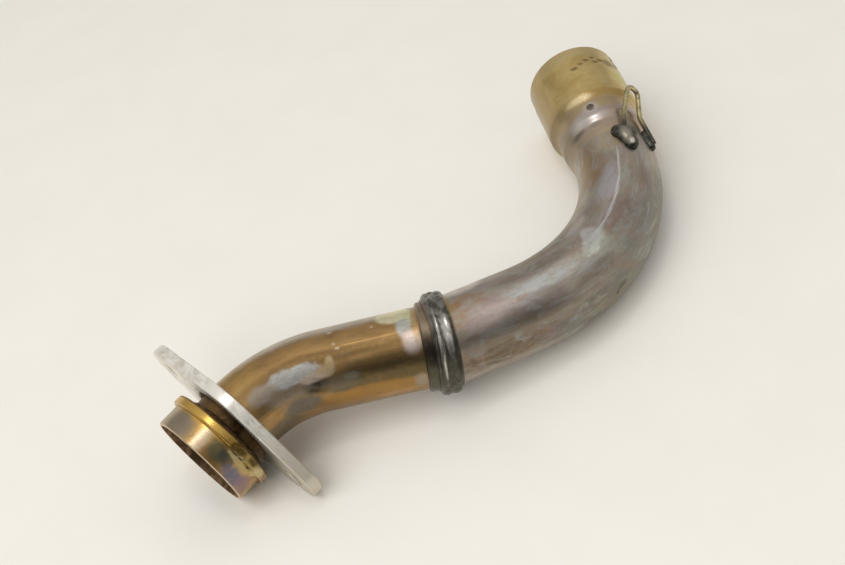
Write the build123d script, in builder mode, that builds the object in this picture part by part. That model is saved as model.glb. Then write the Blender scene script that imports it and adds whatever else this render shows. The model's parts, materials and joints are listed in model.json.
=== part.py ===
"""Motorcycle exhaust header: two welded pipes, a port collar, a loose flange and a slip-joint socket.

It lies as it comes to rest on a table: Z is up, and the origin is the middle of its box, on the table.
Both pipes start at the weld joint between them. Sizes are in millimetres, angles in degrees.
"""
import os
from math import cos, radians, sin

from build123d import *

# Tubes: the rear one is a size up, so that the front one would just go into it
front_od = 41.3
tube_wall = 1.5
tube_fit = 0.35
rear_od = front_od + 2 * (tube_wall + tube_fit)
mitre_stock = 10.0

# Front pipe: run from the weld joint, bend towards the port, neck up to the mouth of the collar
front_run = 63.4
front_bend_radius = 68.8
front_bend_angle = 39.2
neck_length = 29.8

# Rear pipe: run from the weld joint, large bend, tail up to the rim of the socket
rear_run = 41.7
rear_bend_radius = 95.8
rear_bend_angle = 80.3
tail_length = 65.8

# How the two pipes leave the joint when the header lies at rest: heading, pitch and roll of each bend
front_aim_angles = (173.66, 2.52, -13.71)
rear_aim_angles = (9.45, -5.45, 5.42)

# Port collar, a turned cup with a ring at its back
spigot_od = 54.0
spigot_length = 12.0
cup_wall = 1.8
cup_depth = 13.5
ring_step = 2.3
ring_od = spigot_od + 2 * ring_step
ring_width = 5.0
ring_edge_radius = 1.2
mouth_chamfer = 0.5
pipe_stand_in_cup = 2.0
collar_weld_leg = 2.6
collar_weld_crown = 0.4

# Loose flange on the neck
flange_thickness = 6.0
flange_bore_clearance = 1.6
flange_half_width = 29.5
flange_tip_radius = 13.0
stud_spacing = 84.0
stud_hole_d = 8.6
flange_edge_chamfer = 0.5
flange_gap = 7.0
flange_turn_angle = 64.3
flange_off_centre = 1.3

# Weld bead round the joint. It lies askew, so its axis has a heading and a pitch of its own.
bead_aim_angles = (-0.2, -8.6)
bead_crest_height = 2.8
bead_crest_radius = rear_od / 2 + bead_crest_height
bead_edge_height = 0.6
bead_edge_radius = rear_od / 2 + bead_edge_height
bead_front_reach = 9.2
bead_rear_reach = 2.8
bead_foot_inset = 1.5
bead_foot_radius = front_od / 2 - bead_foot_inset
bead_blob_radius = 3.0
bead_blob_reaches = (-3.6, -0.6)
bead_blob_angles = (-43.0, 137.0)

# Smooth step of weld in front of the bead, more askew than the bead, measured along the front pipe
step_aim_angles = (-4.6, -7.6)
step_front_reach = 13.0
step_length = 8.0
step_radius = rear_od / 2
step_edge_chamfer = 0.8

# Socket sleeve, from the rim towards the pipe; it ends just short of the bend
socket_od = 53.9
socket_wall = 1.75
socket_bore = socket_od - 2 * socket_wall
socket_depth = 40.0
rim_band_step = 0.35
rim_band_od = socket_od - 2 * rim_band_step
rim_band_length = 9.0
shoulder_length = 4.5
sleeve_grip_wall = 1.6
sleeve_short_of_bend = 0.3
sleeve_grip_length = tail_length - socket_depth - shoulder_length - sleeve_short_of_bend
sleeve_taper_length = 8.0
sleeve_taper_radius = 30.0
sleeve_lip_wall = 0.6
pipe_end_gap = 2.0
slit_width = 2.6
slit_length = 14.0
slit_angle = 62.0
plug_weld_d = 4.4
plug_weld_crown = 0.7
plug_weld_edge_radius = 0.6
plug_weld_from_rim = 50.0
plug_weld_angle = -8.0

# Spring hook: wire, and the corners of its bent line from the near foot round the loop to the outer foot.
# Each corner has its reach from the start of the tail, its angle round the tail and its height over the pipe.
wire_d = 2.8
wire_seat_gap = 0.1
hook_bend_radius = 6.0
hook_loop_radius = 3.4
hook_reaches = (18.2, 3.2, -16.8, -16.3, -2.3, 15.2)
hook_angles = (15.0, 20.0, 33.5, 47.0, 49.5, 61.0)
hook_heights = (0.0, 1.6, 11.2, 9.2, 1.9, 0.0)

# Welds of the hook's feet: length, radius of the middle drop, radius of the end drops
hook_weld_sink = 0.6
near_weld_size = (17.0, 4.2, 3.7)
outer_weld_size = (13.0, 3.4, 3.0)


def aimed_plane(aim):
    """Plane at the joint whose X runs along a pipe and whose Z is the axis of that pipe's bend."""
    heading, pitch, roll = aim
    along = Vector(1, 0, 0).rotate(Axis.Y, -pitch).rotate(Axis.Z, heading)
    normal = Vector(0, 0, 1).rotate(Axis.X, roll).rotate(Axis.Y, -pitch).rotate(Axis.Z, heading)
    return Plane(origin=(0, 0, 0), x_dir=along, z_dir=normal)


def upright_seat(origin, out):
    """Plane across a tube: Z points out along the tube, X is as near to straight up as it can be."""
    up = Vector(0, 0, 1) - out * out.Z
    return Plane(origin=origin, x_dir=up, z_dir=out)


def turned(seat, angle):
    """The same seat, turned about its own Z."""
    own_axis = Axis((0, 0, 0), seat.z_dir)
    return Plane(origin=seat.origin, x_dir=seat.x_dir.rotate(own_axis, angle), z_dir=seat.z_dir)


def seam_down(path):
    """Plane across the start of a tube, with the tube's seam on its underside."""
    return turned(upright_seat(path @ 0, path % 0), 180)


def section_plane(seat):
    """Plane through the axis of a seat: X is the radius, Y runs along the seat's Z."""
    return Plane(origin=seat.origin, x_dir=seat.x_dir, z_dir=-seat.y_dir)


def axis_of(seat):
    return Axis(seat.origin, seat.z_dir)


def rims(part, seat, diameter, reach):
    """The round edges of a turned part that have one diameter and lie at one reach along a seat's Z."""
    same = 1e-4
    return [
        edge
        for edge in part.edges().filter_by(GeomType.CIRCLE)
        if abs(edge.radius - diameter / 2) < same
        and abs(seat.to_local_coords(edge.arc_center).Z - reach) < same
    ]


# Centre lines, each in the plane of its own bend
front_plane = aimed_plane(front_aim_angles)
rear_plane = aimed_plane(rear_aim_angles)
front_dir = front_plane.x_dir
rear_dir = rear_plane.x_dir
joint = upright_seat(Vector(0, 0, 0), (rear_dir - front_dir).normalized())
pipe_set_back = cup_depth - pipe_stand_in_cup
pipe_end_in_sleeve = socket_depth + shoulder_length + pipe_end_gap

with BuildLine(front_plane) as front_path:
    front_straight = Line((-mitre_stock, 0), (front_run, 0))
    front_bend = JernArc(front_straight @ 1, front_straight % 1, front_bend_radius, front_bend_angle)
    neck = Line(front_bend @ 1, front_bend @ 1 + (front_bend % 1) * (neck_length - pipe_set_back))

with BuildLine(rear_plane) as rear_path:
    rear_straight = Line((-mitre_stock, 0), (rear_run, 0))
    rear_bend = JernArc(rear_straight @ 1, rear_straight % 1, rear_bend_radius, rear_bend_angle)
    tail = Line(rear_bend @ 1, rear_bend @ 1 + (rear_bend % 1) * (tail_length - pipe_end_in_sleeve))

mouth = upright_seat(front_bend @ 1 + (front_bend % 1) * neck_length, front_bend % 1)
rim = upright_seat(rear_bend @ 1 + (rear_bend % 1) * tail_length, rear_bend % 1)

# Front pipe
with BuildPart() as front_pipe:
    with BuildSketch(seam_down(front_path.line)):
        Circle(front_od / 2)
        Circle(front_od / 2 - tube_wall, mode=Mode.SUBTRACT)
    sweep(path=front_path.line)
    split(bisect_by=joint, keep=Keep.BOTTOM)

# Rear pipe
with BuildPart() as rear_pipe:
    with BuildSketch(seam_down(rear_path.line)):
        Circle(rear_od / 2)
        Circle(rear_od / 2 - tube_wall, mode=Mode.SUBTRACT)
    sweep(path=rear_path.line)
    split(bisect_by=joint, keep=Keep.TOP)

# The pipes as filled bars, which welds are cut to
with BuildPart() as front_bar:
    with BuildSketch(seam_down(front_path.line)):
        Circle(front_od / 2)
    sweep(path=front_path.line)
    split(bisect_by=joint, keep=Keep.BOTTOM)

with BuildPart() as rear_bar:
    with BuildSketch(seam_down(rear_path.line)):
        Circle(rear_od / 2)
    sweep(path=rear_path.line)
    split(bisect_by=joint, keep=Keep.TOP)

# Port collar
ring_back = -(spigot_length + ring_width)
with BuildPart() as port_collar:
    with BuildSketch(section_plane(mouth)):
        with BuildLine():
            Polyline(
                (spigot_od / 2 - cup_wall, 0),
                (spigot_od / 2, 0),
                (spigot_od / 2, -spigot_length),
                (ring_od / 2, -spigot_length),
                (ring_od / 2, ring_back),
                (front_od / 2, ring_back),
                (front_od / 2, -cup_depth),
                (spigot_od / 2 - cup_wall, -cup_depth),
                close=True,
            )
        make_face()
    revolve(axis=axis_of(mouth))
    for reach in (-spigot_length, ring_back):
        fillet(rims(port_collar, mouth, ring_od, reach), ring_edge_radius)
    chamfer(rims(port_collar, mouth, spigot_od, 0), mouth_chamfer)

# Fillet weld between the ring's back and the neck
with BuildPart() as collar_weld:
    with BuildSketch(section_plane(mouth)):
        with BuildLine():
            toe = (front_od / 2, ring_back - collar_weld_leg)
            brow = (front_od / 2 + collar_weld_leg, ring_back)
            Polyline(toe, (front_od / 2, ring_back), brow)
            SagittaArc(brow, toe, collar_weld_crown)
        make_face()
    revolve(axis=axis_of(mouth))

# Loose flange, square to the neck and off centre on it towards its high tip
neck_seat = turned(mouth.offset(ring_back - flange_gap - flange_thickness), flange_turn_angle)
flange_seat = Plane(
    origin=neck_seat.from_local_coords((flange_off_centre, 0, 0)),
    x_dir=neck_seat.x_dir,
    z_dir=neck_seat.z_dir,
)
with BuildPart() as flange_plate:
    with BuildSketch(flange_seat):
        Circle(flange_half_width)
        with GridLocations(stud_spacing, 0, 2, 1):
            Circle(flange_tip_radius)
        make_hull()
        Circle(front_od / 2 + flange_bore_clearance, mode=Mode.SUBTRACT)
        with GridLocations(stud_spacing, 0, 2, 1):
            Circle(stud_hole_d / 2, mode=Mode.SUBTRACT)
    extrude(amount=flange_thickness)
    chamfer(flange_plate.faces().filter_by(axis_of(flange_seat)).edges(), flange_edge_chamfer)

# Weld bead round the joint
bead_dir = aimed_plane((*bead_aim_angles, 0)).x_dir
step_dir = aimed_plane((*step_aim_angles, 0)).x_dir
bead_seat = upright_seat(joint.origin, bead_dir)
step_seat = upright_seat(joint.origin + front_dir * step_front_reach, step_dir)
with BuildPart() as mid_weld_ring:
    with BuildSketch(section_plane(bead_seat)):
        with BuildLine():
            Polyline(
                (bead_edge_radius, -bead_front_reach),
                (bead_foot_radius, -bead_front_reach),
                (bead_foot_radius, bead_rear_reach),
                (bead_edge_radius, bead_rear_reach),
            )
            ThreePointArc(
                (bead_edge_radius, -bead_front_reach),
                (bead_crest_radius, (bead_rear_reach - bead_front_reach) / 2),
                (bead_edge_radius, bead_rear_reach),
            )
        make_face()
    revolve(axis=axis_of(bead_seat))
    with BuildSketch(section_plane(step_seat)):
        with BuildLine():
            Polyline(
                (bead_foot_radius, 0),
                (step_radius - step_edge_chamfer, 0),
                (step_radius, step_edge_chamfer),
                (step_radius, step_length),
                (bead_foot_radius, step_length),
                close=True,
            )
        make_face()
    revolve(axis=axis_of(step_seat))
    for reach, angle in zip(bead_blob_reaches, bead_blob_angles):
        blob = bead_seat.from_local_coords(
            (bead_edge_radius * cos(radians(angle)), bead_edge_radius * sin(radians(angle)), reach)
        )
        with Locations(blob):
            Sphere(bead_blob_radius)
    add(front_bar.part, mode=Mode.SUBTRACT)
    add(rear_bar.part, mode=Mode.SUBTRACT)

# Socket sleeve
grip_start = -(socket_depth + shoulder_length)
grip_end = grip_start - sleeve_grip_length
taper_start = grip_end + sleeve_taper_length
grip_radius = rear_od / 2 + sleeve_grip_wall
with BuildPart() as socket_sleeve:
    with BuildSketch(section_plane(rim)):
        with BuildLine():
            Polyline(
                (socket_bore / 2, 0),
                (rim_band_od / 2, 0),
                (rim_band_od / 2, -rim_band_length),
                (socket_od / 2, -rim_band_length),
                (socket_od / 2, -socket_depth),
                (grip_radius, grip_start),
                (grip_radius, taper_start),
                (rear_od / 2 + sleeve_lip_wall, grip_end),
                (rear_od / 2, grip_end),
                (rear_od / 2, grip_start),
                (socket_bore / 2, -socket_depth),
                close=True,
            )
        make_face()
    revolve(axis=axis_of(rim))
    fillet(rims(socket_sleeve, rim, 2 * grip_radius, taper_start), sleeve_taper_radius)
    with BuildSketch(turned(rim, slit_angle)):
        with Locations((socket_od / 2, 0)):
            Rectangle(socket_od / 2, slit_width)
    extrude(amount=-slit_length, mode=Mode.SUBTRACT)
    plug_seat = turned(rim, plug_weld_angle)
    plug_axis = Plane(
        origin=plug_seat.from_local_coords((0, 0, -plug_weld_from_rim)),
        x_dir=plug_seat.z_dir,
        z_dir=plug_seat.x_dir,
    )
    with BuildSketch(plug_axis):
        Circle(plug_weld_d / 2)
    extrude(amount=socket_od, mode=Mode.SUBTRACT)

# Plug weld that fills the hole in the sleeve
with BuildPart() as plug_weld:
    with BuildSketch(plug_axis):
        Circle(plug_weld_d / 2)
    extrude(amount=grip_radius + plug_weld_crown)
    plug_rim = plug_weld.edges().group_by(Axis(plug_axis.origin, plug_axis.z_dir))[-1]
    fillet(plug_rim, plug_weld_edge_radius)
    add(rear_bar.part, mode=Mode.SUBTRACT)


def hook_point(reach, angle, height):
    """A corner of the hook's line in the model's frame."""
    radius = rear_od / 2 + wire_d / 2 + wire_seat_gap + height
    across = (radius * cos(radians(angle)), radius * sin(radians(angle)))
    return rim.from_local_coords((*across, -(tail_length + reach)))


# Spring hook
hook_corners = [hook_point(*corner) for corner in zip(hook_reaches, hook_angles, hook_heights)]
with BuildLine() as hook_path:
    FilletPolyline(
        *hook_corners,
        radius=[hook_bend_radius, hook_loop_radius, hook_loop_radius, hook_bend_radius],
    )
with BuildPart() as spring_hook:
    with BuildSketch(Plane(origin=hook_path.line @ 0, z_dir=hook_path.line % 0)):
        Circle(wire_d / 2)
    sweep(path=hook_path.line)


def hook_weld(foot, kink, size):
    """Three drops of weld in a row along a leg of the hook, cut to the pipe and the wire."""
    length, middle_radius, end_radius = size
    along = (kink - foot).normalized()
    out = (foot - rim.from_local_coords((0, 0, rim.to_local_coords(foot).Z))).normalized()
    middle = foot + along * (length / 2 - wire_d) - out * (wire_d / 2 + hook_weld_sink)
    end_reach = along * (length / 2 - end_radius)
    with BuildPart() as drops:
        with Locations(middle):
            Sphere(middle_radius)
        with Locations(middle - end_reach, middle + end_reach):
            Sphere(end_radius)
        add(rear_bar.part, mode=Mode.SUBTRACT)
        add(spring_hook.part, mode=Mode.SUBTRACT)
    return drops


hook_weld_near = hook_weld(hook_corners[0], hook_corners[1], near_weld_size)
hook_weld_outer = hook_weld(hook_corners[-1], hook_corners[-2], outer_weld_size)

# Every piece is set down on the table, with the middle of the header's box over the origin, and written
pieces = {
    "port_collar": port_collar,
    "collar_weld": collar_weld,
    "flange_plate": flange_plate,
    "front_pipe": front_pipe,
    "mid_weld_ring": mid_weld_ring,
    "rear_pipe": rear_pipe,
    "socket_sleeve": socket_sleeve,
    "plug_weld": plug_weld,
    "spring_hook": spring_hook,
    "hook_weld_near": hook_weld_near,
    "hook_weld_outer": hook_weld_outer,
}
box = Compound([piece.part for piece in pieces.values()]).bounding_box()
set_down = Location((-box.center().X, -box.center().Y, -box.min.Z))

os.makedirs("parts", exist_ok=True)
for name, piece in pieces.items():
    piece.part.label = name
    export_step(piece.part.moved(set_down), f"parts/{name}.step")
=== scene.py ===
"""Looks of the exhaust header: heat-tinted tubes, lumpy welds, a sooty collar and a bare steel flange.

Lengths in the tables are millimetres in the shared frame, and every Blender object is in metres.
"""
import json
from math import cos, radians, sin

import bpy
from mathutils import Matrix, Vector


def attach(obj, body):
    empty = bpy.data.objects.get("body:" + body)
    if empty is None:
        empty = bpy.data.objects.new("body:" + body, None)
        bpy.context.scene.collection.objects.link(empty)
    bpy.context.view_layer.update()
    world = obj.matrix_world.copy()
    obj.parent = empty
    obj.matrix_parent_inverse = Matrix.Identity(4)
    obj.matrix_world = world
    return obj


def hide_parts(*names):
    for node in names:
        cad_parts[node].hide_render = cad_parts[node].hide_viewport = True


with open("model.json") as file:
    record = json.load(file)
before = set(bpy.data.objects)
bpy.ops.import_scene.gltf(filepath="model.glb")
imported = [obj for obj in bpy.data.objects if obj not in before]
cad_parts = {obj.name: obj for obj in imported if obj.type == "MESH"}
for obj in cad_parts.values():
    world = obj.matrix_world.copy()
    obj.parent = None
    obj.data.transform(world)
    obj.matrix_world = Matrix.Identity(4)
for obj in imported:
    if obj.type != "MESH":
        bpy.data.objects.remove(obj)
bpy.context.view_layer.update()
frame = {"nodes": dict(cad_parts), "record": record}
nodes = frame["nodes"]
mounts = {mount["name"]: mount for mount in frame["record"]["mounts"]}

MM = 0.001
UP = Vector((0, 0, 1))
SHARP_EDGE = radians(40)

# The weld joint, and each pipe from it: heading, bend axis, straight run, bend radius, bend angle, outer radius, bore
JOINT = Vector((-0.8673, -60.5971, 30.3313))
FRONT = dict(
    along=(-0.992923, 0.110321, 0.043968), axis=(0.016282, -0.240275, 0.970568),
    run=63.4, bend=68.8, angle=39.2, radius=20.65, bore=19.15,
)
REAR = dict(
    along=(0.981970, 0.163445, -0.094977), axis=(0.108778, -0.077650, 0.991029),
    run=41.7, bend=95.8, angle=80.3, radius=22.5, bore=21.0,
)

# Axis of the joint's bead, middle and way out of the collar's mouth and of the sleeve's rim, and the flange's middle
# and long way
BEAD_AXIS = Vector((0.988750, -0.003451, -0.149535))
MOUTH = Vector((-133.962, -79.355, 27.920))
NECK_OUT = Vector(mounts["port_spigot"]["axis"])
RIM = Vector((121.352, 105.597, 29.938))
TAIL_OUT = Vector(mounts["socket_bore"]["axis"])
FLANGE = Vector((-109.321, -62.673, 31.948))
FLANGE_LONG = Vector((-0.51797, 0.73903, 0.43075))

# Radii at which stains and painted light lie round the collar, the sleeve, the bead and the hook's feet, and between
# which soot begins
COLLAR_RADIUS, SLEEVE_RADIUS, BEAD_RADIUS, FOOT_RADIUS = 27.0, 26.9, 25.0, 25.5
CLEAN_RADIUS, SOOTY_RADIUS = 26.0, 25.5

# Sockets of a Mix node: its mask, the numbers and the colours under and over, and the colour that comes out
MASK, UNDER, OVER, UNDER_COLOUR, OVER_COLOUR, COLOUR_OUT = 0, 2, 3, 6, 7, 2


def linear(hex_colour):
    """An sRGB hex colour as linear RGBA."""
    parts = [int(hex_colour[i:i + 2], 16) / 255 for i in (0, 2, 4)]
    return tuple(p / 12.92 if p <= 0.04045 else ((p + 0.055) / 1.055) ** 2.4 for p in parts) + (1.0,)


def add(tree, kind, values, links):
    """Adds a node; values and links are keyed by setting, by socket name or by socket number."""
    node = tree.nodes.new("ShaderNode" + kind)
    for key, value in values.items():
        if isinstance(key, str) and hasattr(node, key):
            setattr(node, key, value)
        else:
            node.inputs[key].default_value = value
    for key, socket in links.items():
        tree.links.new(socket, node.inputs[key])
    return node


def smooth(low, high, to_low=0.0, to_high=1.0):
    """Settings of a Map Range that steps smoothly from low to high."""
    return {
        "interpolation_type": "SMOOTHSTEP", "From Min": low, "From Max": high, "To Min": to_low, "To Max": to_high,
    }


def turn_to(x_dir, z_dir):
    """Euler turn of a frame given by its X and its Z."""
    x_dir = Vector(x_dir).normalized()
    z_dir = (Vector(z_dir) - x_dir * x_dir.dot(Vector(z_dir))).normalized()
    return Matrix((x_dir, z_dir.cross(x_dir), z_dir)).transposed().to_euler()


def upward(out):
    """The way square to an axis that is nearest to straight up."""
    return (UP - out * out.z).normalized()


def in_frame(tree, origin, x_dir, z_dir):
    """Place in a frame of its own, in mm."""
    here = add(tree, "TexCoord", {}, {}).outputs["Object"]
    return add(
        tree, "Mapping",
        {
            "vector_type": "TEXTURE", "Location": origin * MM,
            "Rotation": turn_to(x_dir, z_dir), "Scale": (MM, MM, MM),
        },
        {"Vector": here},
    ).outputs[0]


def along_pipe(tree, pipe):
    """Place on a pipe as if it were straight: X along it from the joint, Y to the inside of its bend, in mm."""
    along, axis = Vector(pipe["along"]), Vector(pipe["axis"])
    bend = in_frame(tree, JOINT + along * pipe["run"] + axis.cross(along) * pipe["bend"], along, axis)
    parts = add(tree, "SeparateXYZ", {}, {0: bend}).outputs
    out = add(tree, "Math", {"operation": "MULTIPLY", 1: -1.0}, {0: parts["Y"]}).outputs[0]
    swing = add(tree, "Math", {"operation": "ARCTAN2"}, {0: parts["X"], 1: out}).outputs[0]
    turn = add(tree, "Clamp", {"Min": 0.0, "Max": radians(pipe["angle"])}, {"Value": swing}).outputs[0]
    flat = add(
        tree, "VectorRotate", {"rotation_type": "Z_AXIS", "invert": True}, {"Vector": bend, "Angle": turn}
    ).outputs[0]
    arc = add(tree, "Math", {"operation": "MULTIPLY_ADD", 1: pipe["bend"], 2: pipe["run"]}, {0: turn}).outputs[0]
    shift = add(tree, "CombineXYZ", {"Y": pipe["bend"]}, {"X": arc}).outputs[0]
    return add(tree, "VectorMath", {"operation": "ADD"}, {0: flat, 1: shift}).outputs[0]


def along_axis(tree, origin, out):
    """Place on a turned piece: X along its axis, outwards from its end, Y nearest to straight up, in mm."""
    return in_frame(tree, origin, out, out.cross(upward(out)))


def radius_from_x(tree, place):
    """Distance from the X axis of a place."""
    flat = add(tree, "VectorMath", {"operation": "MULTIPLY", 1: (0.0, 1.0, 1.0)}, {0: place}).outputs[0]
    return add(tree, "VectorMath", {"operation": "LENGTH"}, {0: flat}).outputs["Value"]


def grain(tree, place, size, detail=4.0, stretch=(1.0, 1.0, 1.0), warp=0.0, fineness=0.6):
    """Cloudy pattern whose clouds are so many mm wide, drawn out along the axes by stretch."""
    scaled = add(
        tree, "VectorMath", {"operation": "MULTIPLY", 1: tuple(1 / (size * s) for s in stretch)}, {0: place}
    ).outputs[0]
    return add(
        tree, "TexNoise", {"Scale": 1.0, "Detail": detail, "Roughness": fineness, "Distortion": warp},
        {"Vector": scaled},
    ).outputs["Fac"]


def two_tints(tree, clouds, low, high, ground, cloud):
    """A ground tint with another one in its clouds."""
    mask = add(tree, "MapRange", smooth(low, high), {"Value": clouds}).outputs[0]
    return add(
        tree, "Mix", {"data_type": "RGBA", UNDER_COLOUR: linear(ground), OVER_COLOUR: linear(cloud)}, {MASK: mask}
    ).outputs[COLOUR_OUT]


def veil(tree, colour, tint, value, low, high, strength=1.0):
    """Lays a tint over a colour, more and more as a value goes from low to high."""
    mask = add(tree, "MapRange", smooth(low, high, 0.0, strength), {"Value": value}).outputs[0]
    return add(
        tree, "Mix", {"data_type": "RGBA", OVER_COLOUR: linear(tint)}, {MASK: mask, UNDER_COLOUR: colour}
    ).outputs[COLOUR_OUT]


def cover(tree, colour, rough, tint, roughness, mask):
    """Lays a tint and its roughness over others by a mask."""
    colour = add(
        tree, "Mix", {"data_type": "RGBA", OVER_COLOUR: linear(tint)}, {MASK: mask, UNDER_COLOUR: colour}
    ).outputs[COLOUR_OUT]
    return colour, add(tree, "Mix", {OVER: roughness}, {MASK: mask, UNDER: rough}).outputs[0]


def lay_stains_and_painted_light(tree, place, stains_and_painted_light, radius, colour, rough, fray, mottle):
    """Lays a table of stains and painted light over a colour and a roughness; each is frayed by one noise and mottled
    by another.
    """
    for tint, roughness, along, angle, reach, width, soft, ragged, strength in stains_and_painted_light:
        centre = (along, radius * cos(radians(angle)), radius * sin(radians(angle)))
        local = add(
            tree, "Mapping", {"vector_type": "TEXTURE", "Location": centre, "Scale": (reach, width, width)},
            {"Vector": place},
        ).outputs[0]
        far = add(tree, "VectorMath", {"operation": "LENGTH"}, {0: local}).outputs["Value"]
        frayed = add(tree, "Math", {"operation": "MULTIPLY_ADD", 1: ragged}, {0: fray, 2: far}).outputs[0]
        edge = 1 + ragged / 2
        within = smooth(edge + soft / 2, edge - soft / 2, 0.0, strength)
        whole = add(tree, "MapRange", within, {"Value": frayed}).outputs[0]
        mask = add(tree, "Math", {"operation": "MULTIPLY"}, {0: whole, 1: mottle}).outputs[0]
        colour, rough = cover(tree, colour, rough, tint, roughness, mask)
    return colour, rough


def new_finish(name):
    """A material and its empty tree."""
    finish = bpy.data.materials.new(name)
    finish.use_nodes = True
    finish.node_tree.nodes.clear()
    return finish, finish.node_tree


def close_finish(tree, links, **values):
    """Ends a finish with its shader, which is bare metal unless the values say otherwise."""
    shader = add(tree, "BsdfPrincipled", {"Metallic": 1.0, **values}, links)
    add(tree, "OutputMaterial", {}, {"Surface": shader.outputs[0]})


def dress(node, finish):
    """Gives a piece its material."""
    node.data.materials.clear()
    node.data.materials.append(finish)


def tube_finish(name, pipe, light, dark, streaks, stains_and_painted_light, hues, drifted, soot):
    """Drawn and bent stainless tube: two cloudy tints, streaks, stains and painted light, drifts of other hues, and
    soot in its bore.
    """
    finish, tree = new_finish(name)
    place = along_pipe(tree, pipe)
    clouds = grain(tree, place, 13.0, detail=5.0, stretch=(2.2, 1.0, 1.0), warp=0.5)
    fray = grain(tree, place, 6.0, detail=8.0, stretch=(1.6, 1.0, 1.0), warp=0.4, fineness=0.7)
    spots = grain(tree, place, 2.6, detail=5.0)
    mottle = add(tree, "MapRange", smooth(0.22, 0.55, 0.7, 1.0), {"Value": spots}).outputs[0]
    streak = grain(tree, place, 1.6, stretch=(16.0, 1.0, 1.0))
    colour = two_tints(tree, clouds, low=0.36, high=0.66, ground=light, cloud=dark)
    colour = veil(tree, colour, streaks, streak, low=0.5, high=0.72, strength=0.5)
    rough = add(tree, "MapRange", smooth(0.3, 0.7, 0.30, 0.42), {"Value": streak}).outputs[0]
    colour, rough = lay_stains_and_painted_light(tree, place, stains_and_painted_light, pipe["radius"], colour, rough, fray, mottle)
    apart = 61.0  # mm from the clouds of one hue to those of the next
    for k, hue in enumerate(hues, 1):
        elsewhere = add(tree, "VectorMath", {"operation": "ADD", 1: (apart * k, 0.0, 0.0)}, {0: place}).outputs[0]
        drift = grain(tree, elsewhere, 7.0, detail=7.0, stretch=(2.4, 1.0, 1.0), warp=0.9, fineness=0.68)
        colour = veil(tree, colour, hue, drift, low=0.48, high=0.68, strength=drifted)
    specks = grain(tree, place, 1.1, detail=5.0, stretch=(2.2, 1.0, 1.0), warp=0.3, fineness=0.7)
    colour = veil(tree, colour, streaks, specks, low=0.5, high=0.75, strength=0.4)
    from_axis = radius_from_x(tree, place)
    inside = add(
        tree, "MapRange", smooth(pipe["bore"] + 0.9, pipe["bore"] + 0.3), {"Value": from_axis}
    ).outputs[0]
    colour, rough = cover(tree, colour, rough, soot, roughness=0.7, mask=inside)
    lines = grain(tree, place, 0.5, detail=3.0, stretch=(5.0, 1.0, 1.0))
    bump = add(tree, "Bump", {"Strength": 0.25, "Distance": 0.03 * MM}, {"Height": lines}).outputs[0]
    close_finish(tree, {"Base Color": colour, "Roughness": rough, "Normal": bump})
    return finish


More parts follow.
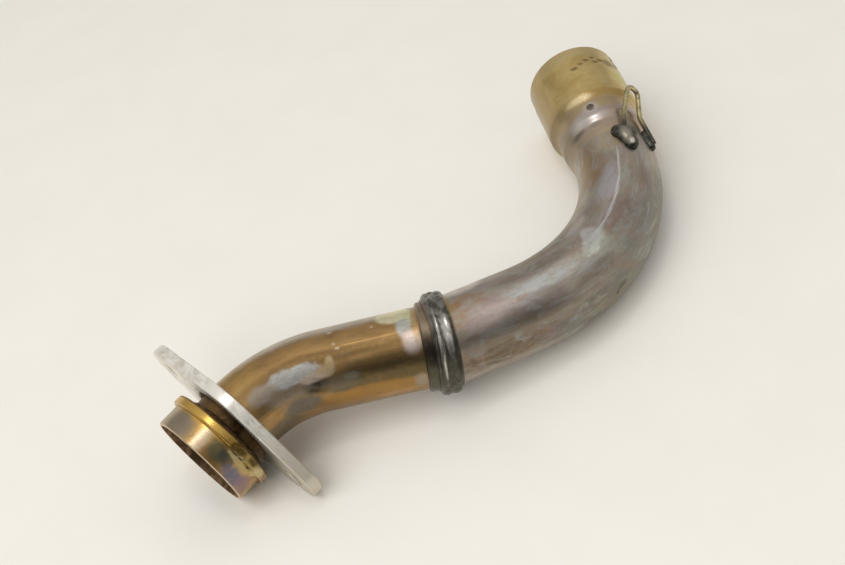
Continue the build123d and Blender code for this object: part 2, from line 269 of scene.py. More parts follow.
# Front tube: straw and bronze heat tint that gives it its gold, under ash-pale and dark patches and painted light
FRONT_STAINS_AND_PAINTED_LIGHT = [
    # tint, roughness, along in mm, angle in degrees, reach along and round in mm, softness, ragged edge, strength
    # Pale along the top edge: painted reflection of the bright table at the grazing edge
    ("d0c8ba", 0.42, 62.0, 147.0, 70.0, 10.0, 0.6, 0.5, 0.85),
    ("bd9a5e", 0.36, 108.0, 98.0, 16.0, 14.0, 0.9, 0.6, 0.8),
    # Darker along the crest where the lamp's highlight falls: painted shade that damps the highlight
    ("6c5638", 0.44, 66.0, 79.0, 62.0, 3.4, 0.9, 0.5, 0.8),
    # Thin bright line along the crest: a painted highlight
    ("e0b878", 0.28, 37.0, 88.5, 17.0, 0.35, 0.9, 0.5, 0.5),
    ("7b6542", 0.38, 30.0, 53.0, 24.0, 4.0, 0.9, 0.6, 0.8),
    # Dark band on the side toward the camera: painted dark reflection of the room behind the camera
    ("695c40", 0.36, 33.0, 35.5, 32.0, 6.4, 0.5, 0.6, 0.95),
    ("a37c46", 0.38, 40.0, 13.0, 27.0, 4.8, 0.5, 0.5, 0.9),
    ("a59a88", 0.45, 15.5, 11.0, 3.5, 5.0, 0.8, 0.8, 0.8),
    ("413c31", 0.38, 66.0, 40.0, 8.5, 3.8, 0.8, 1.2, 0.95),
    ("6b6a5f", 0.45, 54.0, 40.0, 9.5, 4.6, 0.7, 1.4, 0.9),
    ("8f9082", 0.45, 48.0, 45.0, 4.5, 1.8, 0.8, 1.3, 0.7),
    ("74716a", 0.50, 79.0, 20.0, 13.0, 5.6, 0.7, 1.4, 0.9),
    ("7d7769", 0.50, 98.0, 0.0, 17.0, 6.5, 0.8, 1.2, 0.85),
    ("a39b90", 0.52, 85.0, 48.0, 15.0, 4.6, 0.9, 1.4, 0.7),
    ("c9c9c6", 0.55, 77.5, 65.5, 14.5, 4.5, 0.5, 1.5, 0.95),
    ("b0a59b", 0.52, 98.0, 63.0, 9.0, 4.4, 0.7, 1.5, 0.85),
    ("e4ccaa", 0.45, 60.0, 57.0, 5.0, 2.6, 0.7, 1.2, 0.85),
    ("efdccb", 0.45, 68.0, 53.0, 7.0, 2.2, 0.7, 1.1, 0.85),
    ("c9b690", 0.45, 57.0, 66.0, 2.2, 4.0, 0.7, 1.0, 0.75),
    ("f0e8c4", 0.42, 23.5, 126.0, 8.5, 7.5, 0.35, 0.7, 0.95),
    ("e6e2ba", 0.42, 17.0, 113.0, 4.2, 7.0, 0.6, 0.6, 0.95),
    ("c6cbc8", 0.40, 18.5, 96.0, 3.6, 5.0, 0.7, 0.6, 0.9),
    ("9f968e", 0.42, 17.0, 84.0, 3.6, 2.2, 0.9, 0.6, 0.8),
    # Violet-white patch by the weld: paler steel, brightened into a painted glare
    ("e4d4cc", 0.40, 15.8, 71.0, 4.2, 5.6, 0.9, 0.7, 0.9),
    ("bda27a", 0.38, 13.2, 100.0, 1.4, 11.0, 0.9, 0.6, 0.8),
    ("d9c9a8", 0.55, 55.0, 116.5, 1.3, 1.0, 0.9, 0.6, 0.9),
    ("d9c9a8", 0.55, 53.6, 93.6, 0.9, 0.9, 0.9, 0.6, 0.9),
    ("d9c9a8", 0.55, 52.0, 86.0, 1.2, 0.7, 0.9, 0.6, 0.9),
    ("d9c9a8", 0.55, 34.0, 108.0, 0.9, 0.8, 0.9, 0.6, 0.9),
    # Neck between the collar and the flange: sooty brown, near black where painted shade of the gap lies over the soot
    ("6e553a", 0.50, 124.0, 60.0, 14.0, 60.0, 0.5, 0.4, 0.9),
    ("1d170f", 0.50, 121.0, 40.0, 8.0, 17.0, 0.9, 0.8, 0.95),
]
dress(nodes["front_pipe"], tube_finish(
    "drawn_stainless_heat_bronze", FRONT, light="b3905f", dark="977850", streaks="80633d", stains_and_painted_light=FRONT_STAINS_AND_PAINTED_LIGHT,
    hues=("7d5e38", "b58f56", "786a56"), drifted=0.22, soot="3a2c1e",
))

# Rear tube: cooler mauve grey and brown streaks along it, with pale dry patches on the bend and painted highlights
REAR_STAINS_AND_PAINTED_HIGHLIGHTS = [
    ("e4dad0", 0.38, 15.0, 53.0, 10.0, 6.0, 0.8, 0.7, 0.8),
    ("a8925e", 0.45, 4.3, 84.0, 1.5, 15.0, 0.8, 0.9, 0.85),
    ("a88460", 0.38, 12.0, 101.0, 13.0, 9.0, 0.9, 1.3, 0.85),
    ("cdbdb8", 0.36, 24.0, 121.0, 17.0, 7.0, 0.9, 0.8, 0.85),
    # Silver streak near the top: a painted highlight
    ("d2d3ce", 0.38, 57.0, 104.0, 24.0, 4.2, 0.8, 1.2, 0.8),
    ("82766a", 0.38, 38.0, 134.0, 17.0, 5.0, 0.9, 1.3, 0.75),
    ("786a5c", 0.38, 54.0, 82.0, 30.0, 3.6, 0.9, 1.0, 0.6),
    ("6c5c47", 0.38, 20.0, 168.0, 32.0, 8.5, 0.7, 0.6, 0.9),
    ("747068", 0.42, 68.0, 174.0, 30.0, 10.0, 0.9, 0.8, 0.85),
    ("948775", 0.38, 30.0, 148.0, 30.0, 3.6, 0.9, 0.8, 0.8),
    ("97928a", 0.45, 8.0, 153.0, 5.0, 4.0, 0.8, 0.8, 0.7),
    ("dfe4d4", 0.52, 84.0, 103.0, 9.0, 4.4, 0.4, 1.5, 0.95),
    ("cbc7c4", 0.48, 88.0, 89.0, 5.0, 4.6, 0.4, 1.5, 0.85),
    ("b5b3a5", 0.52, 92.0, 122.0, 10.0, 6.0, 0.4, 1.5, 0.85),
    ("85786a", 0.42, 76.0, 130.0, 11.0, 3.4, 0.9, 1.4, 0.65),
    ("88786f", 0.36, 108.0, 106.0, 14.0, 7.0, 0.9, 0.8, 0.85),
    ("d6cdbd", 0.42, 90.0, 61.0, 10.0, 3.0, 0.8, 1.0, 0.7),
    ("7f7462", 0.45, 64.0, 48.0, 30.0, 7.0, 0.9, 0.9, 0.8),
    ("b9b5b8", 0.36, 128.0, 77.0, 15.0, 5.0, 0.9, 0.9, 0.8),
    ("9c8058", 0.40, 146.0, 43.0, 22.0, 8.5, 0.9, 0.8, 0.8),
    ("a39882", 0.45, 92.0, 28.0, 46.0, 8.0, 0.9, 0.6, 0.8),
    ("80807a", 0.42, 118.0, 156.0, 36.0, 11.0, 0.9, 0.8, 0.85),
    ("848071", 0.45, 112.0, 188.0, 46.0, 12.0, 0.9, 0.7, 0.8),
    ("b5a684", 0.42, 165.0, 80.0, 10.0, 9.0, 0.9, 0.8, 0.7),
    # Thin bright line along the top of the bend: a painted highlight
    ("e4dfdd", 0.30, 146.0, 87.0, 10.0, 0.5, 0.9, 0.5, 0.8),
    ("e4dfdd", 0.30, 131.0, 89.0, 11.0, 0.55, 0.9, 0.5, 0.9),
    ("e4dfdd", 0.30, 116.0, 91.3, 11.0, 0.55, 0.9, 0.5, 0.9),
    ("dad5d4", 0.30, 101.0, 93.8, 11.0, 0.5, 0.9, 0.5, 0.8),
    ("dad5d4", 0.30, 86.0, 96.3, 11.0, 0.5, 0.9, 0.5, 0.7),
    ("423b32", 0.50, 81.2, 179.6, 1.0, 1.1, 0.8, 0.6, 0.9),
    ("6a665d", 0.50, 84.5, 174.0, 3.0, 1.6, 0.8, 1.0, 0.8),
    ("4f493f", 0.50, 66.0, -168.0, 5.0, 0.45, 0.8, 0.6, 0.85),
]
dress(nodes["rear_pipe"], tube_finish(
    "drawn_stainless_heat_mauve", REAR, light="b6aca0", dark="9d9387", streaks="897e72", stains_and_painted_light=REAR_STAINS_AND_PAINTED_HIGHLIGHTS,
    hues=("a5a892", "a58364", "b8c0c2", "a08c92"), drifted=0.4, soot="3a2e24",
))

# Port collar: turned steel, straw to bronze, with a blue-grey bloom, a painted highlight, dry crust by the neck, soot
# with painted shade on the neck by the flange, and soot inside with painted light near the mouth; its turning lines
# are drawn coarser than real ones, so that they show
COLLAR_STAINS_AND_PAINTED_HIGHLIGHT = [
    ("d2aa58", 0.26, -14.5, -8.0, 4.0, 34.0, 0.4, 0.4, 0.9),
    ("b4ac98", 0.42, -5.0, 44.0, 8.0, 9.0, 0.8, 0.6, 0.8),
    ("c4b69c", 0.40, -5.0, 24.0, 7.0, 6.0, 0.9, 0.7, 0.8),
    ("978b7b", 0.42, -4.5, 4.0, 7.0, 8.5, 0.7, 0.9, 0.9),
    # Painted highlight, over the lamp's own
    ("cdb9a0", 0.26, -5.0, -28.0, 7.5, 3.2, 0.9, 0.5, 0.8),
    ("8c6842", 0.32, -2.6, -43.0, 4.2, 4.2, 0.8, 0.8, 0.85),
    ("6c6a52", 0.40, -7.0, -49.0, 4.5, 6.0, 0.8, 1.3, 0.9),
    ("5a5a50", 0.40, -8.0, -60.0, 3.4, 4.5, 0.7, 1.5, 0.8),
    ("6b6b7a", 0.35, -3.4, -79.0, 4.4, 7.0, 0.7, 1.1, 0.95),
    ("8d7680", 0.36, -4.0, -97.0, 5.0, 6.0, 0.8, 0.8, 0.8),
    ("dccb96", 0.85, -11.0, -76.0, 2.4, 9.5, 0.5, 1.3, 0.95),
    ("c0a86c", 0.80, -14.6, -86.0, 3.2, 11.0, 0.5, 1.3, 0.95),
    ("d6c79a", 0.80, -11.2, -66.0, 1.8, 4.5, 0.7, 1.5, 0.9),
    ("463518", 0.60, -14.2, -61.0, 2.8, 5.5, 0.7, 1.5, 0.9),
    ("463518", 0.60, -14.8, -82.0, 1.8, 4.0, 0.7, 1.6, 0.85),
    ("e6d9b0", 0.85, -13.8, -98.0, 2.8, 5.0, 0.7, 1.5, 0.95),
    ("3d3019", 0.60, -12.5, -71.0, 1.0, 1.7, 0.6, 1.6, 0.85),
    ("3d3019", 0.60, -11.8, -85.0, 1.0, 1.5, 0.6, 1.6, 0.8),
    ("3d3019", 0.60, -15.4, -92.0, 1.1, 2.2, 0.6, 1.6, 0.9),
    ("3d3019", 0.60, -13.0, -79.0, 0.9, 2.0, 0.6, 1.6, 0.85),
    ("d9c8ac", 0.36, 0.0, 0.0, 0.5, 120.0, 0.6, 0.3, 0.8),
]
collar_finish, tree = new_finish("turned_stainless_straw_bronze")
place = along_axis(tree, MOUTH, NECK_OUT)
reach = add(tree, "SeparateXYZ", {}, {0: place}).outputs["X"]
from_axis = radius_from_x(tree, place)
lathe = add(tree, "CombineXYZ", {}, {"X": reach, "Y": from_axis}).outputs[0]
rings = grain(tree, lathe, 0.35, detail=3.0)
clouds = grain(tree, place, 9.0, detail=5.0, warp=0.5)
fray = grain(tree, place, 3.2, detail=7.0)
spots = grain(tree, place, 1.6, detail=5.0)
mottle = add(tree, "MapRange", smooth(0.22, 0.55, 0.65, 1.0), {"Value": spots}).outputs[0]
colour = two_tints(tree, clouds, low=0.36, high=0.66, ground="c2a066", cloud="9c7d4e")
rough = add(tree, "MapRange", smooth(0.3, 0.7, 0.24, 0.34), {"Value": rings}).outputs[0]
colour, rough = lay_stains_and_painted_light(tree, place, COLLAR_STAINS_AND_PAINTED_HIGHLIGHT, COLLAR_RADIUS, colour, rough, fray, mottle)
sooty = add(tree, "MapRange", smooth(CLEAN_RADIUS, SOOTY_RADIUS), {"Value": from_axis}).outputs[0]
# Behind the collar's ring, on the neck by the flange: soot, darkened further by painted shade of the gap
neck_soot_and_shade = add(tree, "MapRange", smooth(-15.5, -17.0), {"Value": reach}).outputs[0]
darkened = add(tree, "Math", {"operation": "MAXIMUM"}, {0: sooty, 1: neck_soot_and_shade}).outputs[0]
colour, rough = cover(tree, colour, rough, "5a4630", roughness=0.6, mask=darkened)
# Paler patches in the bore near the mouth: painted light falling in over the soot
near_lip = add(tree, "MapRange", smooth(-11.0, -1.0), {"Value": reach}).outputs[0]
patchy = add(tree, "MapRange", smooth(0.38, 0.58, 0.25, 1.0), {"Value": clouds}).outputs[0]
lip_painted_light = add(tree, "Math", {"operation": "MULTIPLY"}, {0: sooty, 1: near_lip}).outputs[0]
lip_painted_light = add(tree, "Math", {"operation": "MULTIPLY"}, {0: lip_painted_light, 1: patchy}).outputs[0]
colour = add(
    tree, "Mix", {"data_type": "RGBA", OVER_COLOUR: linear("c8a580")}, {MASK: lip_painted_light, UNDER_COLOUR: colour}
).outputs[COLOUR_OUT]
crust = add(tree, "MapRange", smooth(0.5, 0.8), {"Value": rough}).outputs[0]
height = add(tree, "Math", {"operation": "MULTIPLY"}, {0: crust, 1: fray}).outputs[0]
lines = add(tree, "Bump", {"Strength": 0.1, "Distance": 0.03 * MM}, {"Height": rings}).outputs[0]
lumps = add(tree, "Bump", {"Strength": 0.8, "Distance": 1.2 * MM}, {"Height": height, "Normal": lines}).outputs[0]
close_finish(tree, {"Base Color": colour, "Roughness": rough, "Normal": lumps})
dress(nodes["port_collar"], collar_finish)

# Socket sleeve: pressed steel gone straw gold, browner at the rim, with a painted highlight on its shoulder, lilac
# silver where it grips the tube, with a rounded step drawn there by a bump; the weld of its plug is rubbed as bright
# as the sleeve
SOCKET_STAINS_AND_PAINTED_HIGHLIGHT = [
    ("cbb68a", 0.38, -3.0, 0.0, 5.0, 150.0, 0.9, 0.6, 0.6),
    ("cfc79a", 0.42, -20.0, 64.0, 24.0, 8.0, 0.9, 0.6, 0.7),
    ("b3a68f", 0.42, -28.0, -88.0, 38.0, 10.0, 0.9, 0.5, 0.8),
    ("ac966c", 0.38, -30.0, -63.0, 34.0, 6.0, 0.9, 0.5, 0.8),
    ("b2915a", 0.32, -42.2, 14.0, 2.4, 24.0, 0.9, 0.4, 0.8),
    ("a28e6a", 0.36, -43.0, -66.0, 6.0, 16.0, 0.9, 0.5, 0.85),
    ("96876e", 0.40, -46.0, -100.0, 10.0, 18.0, 0.9, 0.5, 0.85),
    # Painted highlight on the shoulder
    ("f6e2b4", 0.22, -42.2, -17.0, 1.7, 8.0, 0.9, 0.4, 0.9),
    ("b7a283", 0.34, -49.5, 0.0, 5.5, 150.0, 0.6, 0.5, 0.9),
    ("b0a096", 0.34, -58.0, 0.0, 6.0, 150.0, 0.7, 0.5, 0.9),
    ("c4bbb8", 0.28, -57.5, -16.0, 7.0, 10.0, 0.9, 0.6, 0.85),
    ("d6d0c4", 0.30, -57.0, -38.0, 5.0, 6.0, 0.9, 0.7, 0.7),
    ("a89788", 0.36, -66.0, 0.0, 4.5, 150.0, 0.7, 0.6, 0.9),
    ("938772", 0.38, -58.0, -76.0, 11.0, 13.0, 0.9, 0.6, 0.85),
    ("6f675c", 0.40, -62.6, -42.0, 2.0, 6.0, 0.9, 0.9, 0.8),
    ("8f8579", 0.40, -63.5, -14.0, 2.0, 5.0, 0.8, 0.8, 0.7),
    ("c6c86c", 0.40, -27.0, 48.0, 4.5, 3.0, 0.7, 0.7, 0.85),
    ("cfc5bd", 0.34, -50.0, -7.0, 4.6, 5.0, 0.7, 0.7, 0.75),
    ("5c5044", 0.50, -50.0, -8.3, 2.7, 3.4, 0.4, 0.5, 0.9),
    ("8a7550", 0.50, -14.5, 45.0, 3.0, 5.0, 0.9, 1.4, 0.75),
    ("6e5c3c", 0.55, -18.5, -4.0, 1.2, 2.0, 1.2, 1.6, 0.75),
    ("6e5c3c", 0.55, -16.0, 6.0, 1.0, 1.6, 1.2, 1.6, 0.75),
    ("6e5c3c", 0.55, -13.6, 14.0, 1.0, 1.6, 1.2, 1.6, 0.75),
    ("6e5c3c", 0.55, -15.4, 25.0, 1.1, 1.8, 1.2, 1.6, 0.75),
    ("6e5c3c", 0.55, -11.6, 23.0, 0.9, 1.5, 1.2, 1.6, 0.75),
    ("6e5c3c", 0.55, -13.4, 34.0, 1.1, 2.0, 1.2, 1.6, 0.75),
]
socket_finish, tree = new_finish("pressed_stainless_straw_gold")
place = along_axis(tree, RIM, TAIL_OUT)
reach = add(tree, "SeparateXYZ", {}, {0: place}).outputs["X"]
from_axis = radius_from_x(tree, place)
lathe = add(tree, "CombineXYZ", {}, {"X": reach, "Y": from_axis}).outputs[0]
rings = grain(tree, lathe, 0.45, detail=3.0)
clouds = grain(tree, place, 11.0, detail=5.0, warp=0.4)
fray = grain(tree, place, 3.6, detail=7.0)
spots = grain(tree, place, 1.8, detail=5.0)
mottle = add(tree, "MapRange", smooth(0.22, 0.55, 0.65, 1.0), {"Value": spots}).outputs[0]
colour = two_tints(tree, clouds, low=0.36, high=0.66, ground="d3bb80", cloud="c0a568")
rough = add(tree, "MapRange", smooth(0.3, 0.7, 0.26, 0.36), {"Value": rings}).outputs[0]
colour, rough = lay_stains_and_painted_light(tree, place, SOCKET_STAINS_AND_PAINTED_HIGHLIGHT, SLEEVE_RADIUS, colour, rough, fray, mottle)
sooty = add(tree, "MapRange", smooth(CLEAN_RADIUS, SOOTY_RADIUS), {"Value": from_axis}).outputs[0]
bored = add(tree, "MapRange", smooth(-36.0, -34.0), {"Value": reach}).outputs[0]
darkened = add(tree, "Math", {"operation": "MULTIPLY"}, {0: sooty, 1: bored}).outputs[0]
colour, rough = cover(tree, colour, rough, "4a3b2a", roughness=0.6, mask=darkened)
lines = add(tree, "Bump", {"Strength": 0.15, "Distance": 0.03 * MM}, {"Height": rings}).outputs[0]
swage = add(tree, "MapRange", smooth(-62.5, -55.5), {"Value": reach}).outputs[0]
step = add(tree, "Bump", {"Strength": 1.0, "Distance": 1.9 * MM}, {"Height": swage, "Normal": lines}).outputs[0]
close_finish(tree, {"Base Color": colour, "Roughness": rough, "Normal": step})
dress(nodes["socket_sleeve"], socket_finish)
dress(nodes["plug_weld"], socket_finish)

# Flange: bare bright steel plate whose scuffs scatter the light, ground along its edge and smoother at the middle,
# with painted shade toward its lower end
flange_finish, tree = new_finish("ground_steel_scuffed")
place = in_frame(tree, FLANGE, FLANGE_LONG, NECK_OUT)
length = add(tree, "SeparateXYZ", {}, {0: place}).outputs["X"]
clouds = grain(tree, place, 7.0, detail=6.0, warp=0.6)
scuffs = grain(tree, place, 0.8, detail=5.0, stretch=(6.0, 6.0, 1.0))
lines = grain(tree, place, 0.25, detail=3.0, stretch=(14.0, 14.0, 1.0))
colour = two_tints(tree, clouds, low=0.42, high=0.68, ground="efeae0", cloud="d2ccbf")
# Darker toward its lower end: painted shade
colour = veil(tree, colour, "c4bcaa", length, low=-12.0, high=-44.0, strength=0.85)
colour = veil(tree, colour, "a59e90", scuffs, low=0.56, high=0.74, strength=0.7)
off_middle = add(tree, "Math", {"operation": "ABSOLUTE"}, {0: length}).outputs[0]
rubbed = add(tree, "MapRange", smooth(16.0, 6.0, 0.0, 0.9), {"Value": off_middle}).outputs[0]
rough = add(tree, "MapRange", smooth(0.35, 0.7, 0.36, 0.5), {"Value": clouds}).outputs[0]
rough = add(tree, "Mix", {OVER: 0.24}, {MASK: rubbed, UNDER: rough}).outputs[0]
ground = add(tree, "Bump", {"Strength": 0.2, "Distance": 0.03 * MM}, {"Height": lines}).outputs[0]
dents = add(tree, "Bump", {"Strength": 0.3, "Distance": 0.12 * MM}, {"Height": scuffs, "Normal": ground}).outputs[0]
close_finish(tree, {"Base Color": colour, "Roughness": rough, "Normal": dents}, Metallic=0.72)
dress(nodes["flange_plate"], flange_finish)

# Weld metal of the joint: dark oxide with glossy crests drawn out by painted highlights, browner on the smooth step in
# front of it, which is near black in painted dark reflection toward the camera
WELD_STAINS_AND_PAINTED_LIGHT = [
    ("917f69", 0.38, -12.5, 8.0, 4.0, 26.0, 0.5, 0.4, 0.95),
    # Near black on the step toward the camera: painted dark reflection of the room behind the camera
    ("2f2b23", 0.42, -12.0, 56.0, 5.0, 12.0, 0.9, 0.6, 0.9),
    ("5a5646", 0.42, -12.0, 96.0, 5.0, 10.0, 0.8, 0.6, 0.9),
    ("4a473d", 0.34, -2.0, 92.0, 7.0, 20.0, 0.7, 0.6, 0.85),
    # Pale lines on both crests: painted highlights that draw out the lamp's own
    ("d2cec8", 0.26, -1.6, 36.0, 1.9, 9.0, 0.8, 1.0, 0.9),
    ("c8c4bc", 0.26, -6.0, 50.0, 0.7, 16.0, 0.8, 1.0, 0.85),
    ("b8a880", 0.45, 2.6, 0.0, 1.1, 15.0, 0.7, 0.8, 0.9),
    ("8b7f71", 0.45, 3.3, 58.0, 0.7, 14.0, 0.7, 0.8, 0.8),
    ("332f28", 0.38, 1.2, 58.0, 1.6, 11.0, 0.8, 0.7, 0.85),
]
weld_finish, tree = new_finish("weld_bead_dark_oxide")
place = along_axis(tree, JOINT, BEAD_AXIS)
clouds = grain(tree, place, 5.0, detail=5.0, warp=0.6)
fray = grain(tree, place, 2.4, detail=6.0)
mottle = add(tree, "MapRange", smooth(0.25, 0.55, 0.75, 1.0), {"Value": fray}).outputs[0]
fine = grain(tree, place, 0.9)
colour = two_tints(tree, clouds, low=0.38, high=0.64, ground="85827a", cloud="55524a")
rough = add(tree, "MapRange", smooth(0.3, 0.7, 0.28, 0.40), {"Value": fine}).outputs[0]
colour, rough = lay_stains_and_painted_light(tree, place, WELD_STAINS_AND_PAINTED_LIGHT, BEAD_RADIUS, colour, rough, fray, mottle)
bump = add(tree, "Bump", {"Strength": 0.35, "Distance": 0.15 * MM}, {"Height": fine}).outputs[0]
close_finish(tree, {"Base Color": colour, "Roughness": rough, "Normal": bump})
dress(nodes["mid_weld_ring"], weld_finish)

# Weld of the collar: a rough bead that soot turns dull brown
sooty_weld_finish, tree = new_finish("weld_bead_sooty")
place = along_axis(tree, MOUTH, NECK_OUT)
clouds = grain(tree, place, 2.2, detail=5.0)
colour = two_tints(tree, clouds, low=0.36, high=0.66, ground="86694a", cloud="56422c")
rough = add(tree, "MapRange", smooth(0.3, 0.7, 0.4, 0.6), {"Value": clouds}).outputs[0]
bump = add(tree, "Bump", {"Strength": 0.6, "Distance": 0.4 * MM}, {"Height": clouds}).outputs[0]
close_finish(tree, {"Base Color": colour, "Roughness": rough, "Normal": bump})
dress(nodes["collar_weld"], sooty_weld_finish)

# Hook wire: drawn steel, straw at the loop and dark oxide down at its feet
wire_finish, tree = new_finish("drawn_wire_straw_to_oxide")
place = along_axis(tree, RIM, TAIL_OUT)
reach = add(tree, "SeparateXYZ", {}, {0: place}).outputs["X"]
clouds = grain(tree, place, 2.5)
colour = two_tints(tree, clouds, low=0.38, high=0.64, ground="c6b88e", cloud="9a8f6c")
colour = veil(tree, colour, "55534a", reach, low=-62.0, high=-73.0)
rough = add(tree, "MapRange", smooth(0.3, 0.7, 0.25, 0.42), {"Value": clouds}).outputs[0]
close_finish(tree, {"Base Color": colour, "Roughness": rough})

# Welds of the hook: blue-black oxide, with a grey burnished patch and a painted highlight on top
DROP_STAINS_AND_PAINTED_HIGHLIGHT = [
    ("a8a190", 0.36, -79.5, 16.0, 6.5, 3.0, 0.9, 0.9, 0.85),
    # Painted highlight
    ("e2dacb", 0.26, -85.5, 19.0, 1.8, 1.3, 0.9, 0.8, 0.9),
]
drop_finish, tree = new_finish("weld_drop_blue_black")
place = along_axis(tree, RIM, TAIL_OUT)
clouds = grain(tree, place, 3.5, detail=5.0, warp=0.5)
fray = grain(tree, place, 1.6, detail=5.0)
mottle = add(tree, "MapRange", smooth(0.25, 0.55, 0.7, 1.0), {"Value": fray}).outputs[0]
fine = grain(tree, place, 0.8)
colour = two_tints(tree, clouds, low=0.44, high=0.66, ground="3c3f39", cloud="626055")
rough = add(tree, "MapRange", smooth(0.3, 0.7, 0.26, 0.4), {"Value": fine}).outputs[0]
colour, rough = lay_stains_and_painted_light(tree, place, DROP_STAINS_AND_PAINTED_HIGHLIGHT, FOOT_RADIUS, colour, rough, fray, mottle)
bump = add(tree, "Bump", {"Strength": 0.25, "Distance": 0.15 * MM}, {"Height": fine}).outputs[0]
close_finish(tree, {"Base Color": colour, "Roughness": rough, "Normal": bump})


def standing(origin, x_dir, z_dir):
    """Place and turn of a piece built at the origin, whose Z is kept and whose X is squared to it."""
    z_dir = z_dir.normalized()
    x_dir = (x_dir - z_dir * z_dir.dot(x_dir)).normalized()
    return Matrix.LocRotScale(origin * MM, Matrix((x_dir, z_dir.cross(x_dir), z_dir)).transposed(), None)


def settle(name, voxel, smoothing, finish, place):
    """Melts the selected drops into one lump, puts it in its place and dresses it."""
    bpy.ops.object.join()
    lump = bpy.context.object
    lump.name = lump.data.name = name
    lump.matrix_world = place
    bpy.ops.object.transform_apply(location=True, rotation=True, scale=True)
    melt = lump.modifiers.new("melt", "REMESH")
    melt.mode = "VOXEL"
    melt.voxel_size = voxel * MM
    bpy.ops.object.modifier_apply(modifier="melt")
    flow = lump.modifiers.new("flow", "SMOOTH")
    flow.factor, flow.iterations = 0.5, smoothing
    bpy.ops.object.modifier_apply(modifier="flow")
    bpy.ops.object.shade_smooth()
    dress(lump, finish)
    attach(lump, "header")
    return lump


# Runs of the joint's bead: one drop of weld, copied round the crest in two rows that melt into ridges
ROWS = [
    # along the bead's axis, drops round it, half width, half length, half height, radius of the drop's middle
    (-5.8, 36, 1.9, 6.4, 1.7, 23.9),
    (-1.0, 36, 2.9, 6.4, 1.8, 23.8),
]
# Sway of the drops and its pace from one to the next: out of the bead and along it in mm, and round it in degrees
OUT_SWAY, OUT_PACE = 0.3, 1.9
ALONG_SWAY, ALONG_PACE = 0.45, 0.8
ROUND_SWAY, ROUND_PACE = 3.0, 3.1
bpy.ops.object.select_all(action="DESELECT")
drops = []
for reach, count, width, length, height, radius in ROWS:
    bpy.ops.mesh.primitive_uv_sphere_add(segments=24, ring_count=12, radius=MM)
    bpy.ops.transform.resize(value=(height, length, width))
    bpy.ops.object.transform_apply(location=True, rotation=True, scale=True)
    first = bpy.context.object
    for k in range(count):
        bpy.ops.object.select_all(action="DESELECT")
        first.select_set(True)
        bpy.context.view_layer.objects.active = first
        bpy.ops.object.duplicate()
        drop = bpy.context.object
        out = radius + OUT_SWAY * sin(OUT_PACE * k)
        along = reach + ALONG_SWAY * sin(ALONG_PACE * k + reach)
        angle = 360 / count * k + ROUND_SWAY * sin(ROUND_PACE * k)
        bpy.ops.transform.translate(value=(out * MM, 0, along * MM))
        bpy.ops.transform.rotate(value=radians(angle), orient_axis="Z", center_override=(0, 0, 0))
        drops.append(drop)
    bpy.data.objects.remove(first)
bpy.ops.object.select_all(action="DESELECT")
for drop in drops:
    drop.select_set(True)
bpy.context.view_layer.objects.active = drops[0]
bpy.ops.object.transform_apply(location=True, rotation=True, scale=True)
crest = standing(JOINT, upward(BEAD_AXIS), BEAD_AXIS)
settle("bead_runs", voxel=0.4, smoothing=6, finish=weld_finish, place=crest)

# Welds of the hook's feet: flat drops run together on the tube, built at the origin with X out of the tube
HOOK_WELDS = {
    # node: foot, way out of the tube, way along the foot, drops (out, across, along, and their half sizes)
    "hook_weld_near": (
        Vector((126.95, 25.70, 45.44)), Vector((0.294, 0.0, 0.956)), TAIL_OUT,
        [
            (0.5, 0.6, 1.0, 4.2, 5.6, 6.8), (0.0, 1.2, -4.4, 3.6, 4.4, 6.2),
            (-0.2, -2.2, 4.2, 3.4, 4.6, 5.0), (-0.2, 3.2, 3.6, 3.2, 4.4, 5.0),
        ],
    ),
    "hook_weld_outer": (
        Vector((139.31, 27.22, 35.68)), Vector((0.84, -0.17, 0.50)), Vector((-0.058, 0.933, 0.356)),
        [
            (0.0, 0.0, 0.0, 2.7, 2.8, 7.0), (-0.4, 0.3, -3.4, 2.7, 3.0, 3.6), (-1.4, 0.0, 0.0, 2.2, 3.6, 5.0),
        ],
    ),
}
for node, (foot, out, along, drops) in HOOK_WELDS.items():
    bpy.ops.object.select_all(action="DESELECT")
    made = []
    for x, y, z, high, wide, long in drops:
        bpy.ops.mesh.primitive_uv_sphere_add(
            segments=32, ring_count=16, radius=MM, location=(x * MM, y * MM, z * MM), scale=(high, wide, long)
        )
        made.append(bpy.context.object)
    for drop in made:
        drop.select_set(True)
    bpy.ops.object.transform_apply(location=True, rotation=True, scale=True)
    seat = standing(foot, out, along)
    lump = settle(node + "_run", voxel=0.35, smoothing=24, finish=drop_finish, place=seat)
    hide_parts(node)

# Hook: one wire that runs up from its near foot, round an arch and down a kinked leg, by the solid hook's corners
WIRE_RADIUS = 1.4
WIRE_ROUTE = [
    (126.443, 19.993, 46.611), (129.182, 34.847, 48.632), (135.2, 45.5, 52.4), (140.11, 54.24, 55.447),
    (144.962, 54.193, 48.718), (142.6, 47.5, 45.3), (140.199, 40.742, 41.84), (140.4, 37.3, 40.5),
    (141.272, 23.675, 35.328),
]
bpy.ops.object.select_all(action="DESELECT")
bpy.ops.curve.primitive_nurbs_path_add()
wire = bpy.context.object
wire.name = wire.data.name = "hook_wire"
run = wire.data.splines[0]
run.points.add(len(WIRE_ROUTE) - len(run.points))
for point, corner in zip(run.points, WIRE_ROUTE):
    point.co = (*(Vector(corner) * MM), 1.0)
run.order_u = 3
run.use_endpoint_u = True
run.resolution_u = 12
wire.data.bevel_depth = WIRE_RADIUS * MM
wire.data.bevel_resolution = 6
wire.data.use_fill_caps = True
bpy.ops.object.convert(target="MESH")
wire = bpy.context.object
bpy.ops.object.shade_smooth_by_angle(angle=SHARP_EDGE)
dress(wire, wire_finish)
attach(wire, "header")
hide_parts("spring_hook")

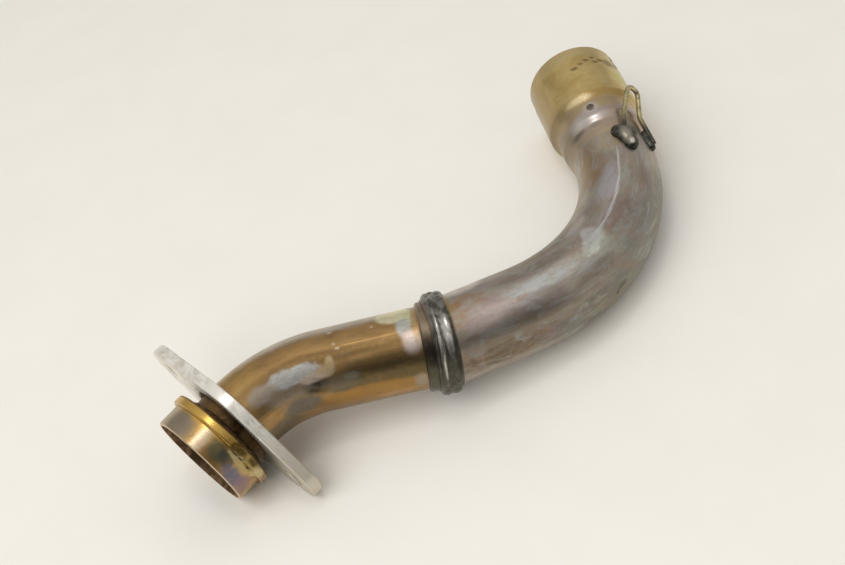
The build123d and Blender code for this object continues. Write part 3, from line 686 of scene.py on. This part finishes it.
# Lip of the sleeve, drawn down to the tube: a cone that gets a thin wall on its inside
LIP_LENGTH, LIP_WALL = 5.0, 0.3
LIP_TUBE_RADIUS, LIP_SLEEVE_RADIUS = 22.52, 23.14
RIM_TO_LIP = 65.45
bpy.ops.object.select_all(action="DESELECT")
bpy.ops.mesh.primitive_cone_add(
    vertices=128, radius1=LIP_TUBE_RADIUS * MM, radius2=LIP_SLEEVE_RADIUS * MM, depth=LIP_LENGTH * MM,
    end_fill_type="NOTHING", location=(0, 0, -LIP_LENGTH / 2 * MM),
)
lip = bpy.context.object
lip.name = lip.data.name = "sleeve_lip"
bpy.ops.object.transform_apply(location=True, rotation=True, scale=True)
lip.matrix_world = standing(RIM - TAIL_OUT.normalized() * RIM_TO_LIP, UP, TAIL_OUT)
bpy.ops.object.transform_apply(location=True, rotation=True, scale=True)
wall = lip.modifiers.new("wall", "SOLIDIFY")
wall.thickness, wall.offset = LIP_WALL * MM, -1.0
bpy.ops.object.modifier_apply(modifier="wall")
bpy.ops.object.shade_smooth_by_angle(angle=SHARP_EDGE)
dress(lip, socket_finish)
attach(lip, "header")

# Camera of the photograph: its place from the joint, its axes, and its focal length in pixels of the frame's width
EYE = JOINT + Vector((-1.93, -411.88, 432.01))
CAMERA_AXES = Matrix(((0.9435, -0.2272, -0.2410), (0.3312, 0.6473, 0.6865), (0, -0.7276, 0.6860))).transposed()
FRAME_WIDTH, FOCAL_PIXELS = 845, 1200
SENSOR_WIDTH = 36.0
camera = bpy.data.objects.new("camera", bpy.data.cameras.new("camera"))
bpy.context.scene.collection.objects.link(camera)
camera.data.sensor_fit = "HORIZONTAL"
camera.data.sensor_width = SENSOR_WIDTH
camera.data.lens = SENSOR_WIDTH * FOCAL_PIXELS / FRAME_WIDTH
camera.data.clip_start = 0.01
camera.matrix_world = Matrix.LocRotScale(EYE * MM, CAMERA_AXES, None)
bpy.context.scene.camera = camera
bpy.context.scene.view_settings.view_transform = "Standard"

# Pale table: matt laminate, with clouds so faint that it looks plain
TABLE_WIDTH = 8.0
bpy.ops.object.select_all(action="DESELECT")
bpy.ops.mesh.primitive_plane_add(size=TABLE_WIDTH)
table = bpy.context.object
table.name = "table"
table_finish, tree = new_finish("pale_laminate")
place = in_frame(tree, Vector((0, 0, 0)), (1, 0, 0), (0, 0, 1))
clouds = grain(tree, place, 60.0, detail=6.0)
colour = two_tints(tree, clouds, low=0.35, high=0.65, ground="ebe7df", cloud="e9e5dc")
close_finish(tree, {"Base Color": colour}, Metallic=0.0, Roughness=0.6)
dress(table, table_finish)

# Lamps: one nearly overhead that the metal mirrors, and two wide ones that it does not, from the left and the front
LAMPS = [
    # name, place, diameter, watts, mirrored
    ("key_lamp", (-0.04, -0.07, 1.25), 0.3, 1.2, True),
    ("fill_lamp", (-1.6, -1.3, 2.6), 3.2, 58.0, False),
    ("front_lamp", (-0.5, -1.9, 1.3), 1.4, 9.0, False),
]
for name, place, diameter, watts, mirrored in LAMPS:
    lamp = bpy.data.objects.new(name, bpy.data.lights.new(name, "AREA"))
    bpy.context.scene.collection.objects.link(lamp)
    lamp.data.shape = "DISK"
    lamp.data.size = diameter
    lamp.data.energy = watts
    lamp.location = Vector(place)
    lamp.rotation_mode = "QUATERNION"
    lamp.rotation_quaternion = (-lamp.location).to_track_quat("-Z", "Y")
    lamp.visible_glossy = mirrored

# Room: brightest overhead and dark low down behind the camera, with a pale backdrop along the horizon that is seen
# and mirrored but gives no light
ROOM_TINT = (1.0, 0.985, 0.96, 1.0)
SIDE_LIGHT, OVERHEAD_LIGHT, BACKDROP_LIGHT = 0.32, 0.78, 0.8
CAMERA_SIDE = (0, -0.97, 0.26)
world = bpy.data.worlds.new("room")
bpy.context.scene.world = world
world.use_nodes = True
tree = world.node_tree
tree.nodes.clear()
way = add(tree, "TexCoord", {}, {}).outputs["Generated"]
rise = add(tree, "SeparateXYZ", {}, {0: way}).outputs["Z"]
ceiling = add(
    tree, "MapRange", {"From Min": 0.0, "From Max": 1.0, "To Min": SIDE_LIGHT, "To Max": OVERHEAD_LIGHT},
    {"Value": rise},
).outputs[0]
toward = add(tree, "VectorMath", {"operation": "DOT_PRODUCT", 1: CAMERA_SIDE}, {0: way}).outputs["Value"]
shade = add(tree, "MapRange", smooth(0.6, 0.97, 1.0, 0.2), {"Value": toward}).outputs[0]
level = add(tree, "Math", {"operation": "MULTIPLY"}, {0: ceiling, 1: shade}).outputs[0]
path = add(tree, "LightPath", {}, {}).outputs
seen = add(tree, "Math", {"operation": "MAXIMUM"}, {0: path["Is Camera Ray"], 1: path["Is Glossy Ray"]}).outputs[0]
seen = add(tree, "Math", {"operation": "MAXIMUM"}, {0: seen, 1: path["Is Transmission Ray"]}).outputs[0]
low_down = add(tree, "MapRange", smooth(0.16, 0.06), {"Value": rise}).outputs[0]
backdrop = add(tree, "Math", {"operation": "MULTIPLY"}, {0: seen, 1: low_down}).outputs[0]
level = add(tree, "Mix", {OVER: BACKDROP_LIGHT}, {MASK: backdrop, UNDER: level}).outputs[0]
room = add(tree, "Background", {"Color": ROOM_TINT}, {"Strength": level}).outputs[0]
add(tree, "OutputWorld", {}, {"Surface": room})
